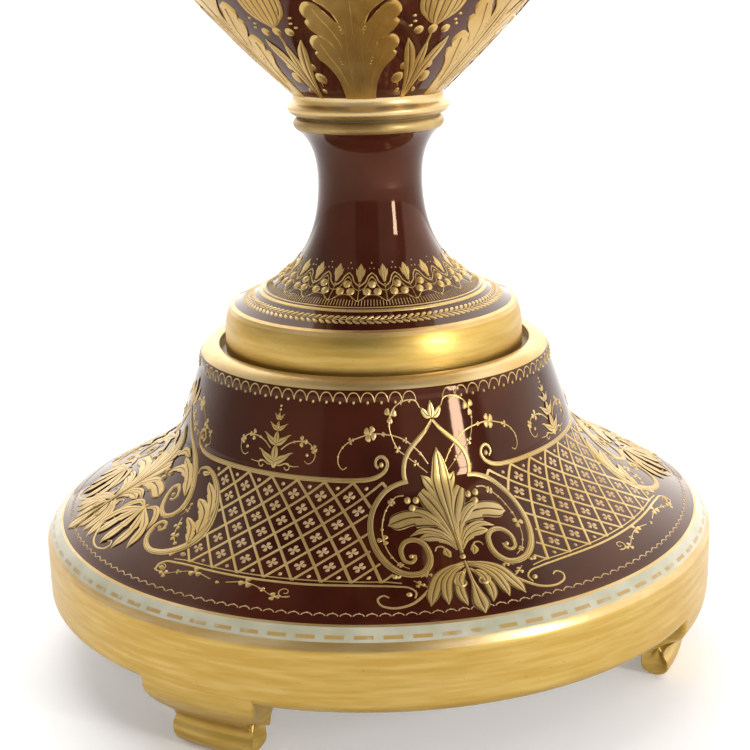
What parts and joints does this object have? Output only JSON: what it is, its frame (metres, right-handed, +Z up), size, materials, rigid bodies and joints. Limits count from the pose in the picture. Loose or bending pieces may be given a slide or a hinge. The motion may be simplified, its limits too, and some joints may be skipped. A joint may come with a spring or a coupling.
{
  "type": "mantel urn",
  "caption": "Footed porcelain urn on a round stand with bracket feet, maroon glaze with gilt foliage; holds flowers or stands as an ornament.",
  "frame": {"origin": "on the ground under the middle of the stand", "axes": "+Z up along the axis of the urn, the front of the ornament faces -Y"},
  "size_m": [0.24, 0.24, 0.424],
  "materials": {
    "plinth_porcelain": "dark red-brown glaze, high gloss, with gilt bands and gilt foliage",
    "gilt_porcelain": "satin gilding on porcelain, worn along the edges",
    "maroon_glaze": "dark red-brown glaze, high gloss"
  },
  "bodies": {
    "root": {"plinth": "plinth_porcelain", "urn_foot": "gilt_porcelain", "urn_body": "maroon_glaze"}
  },
  "joints": []
}
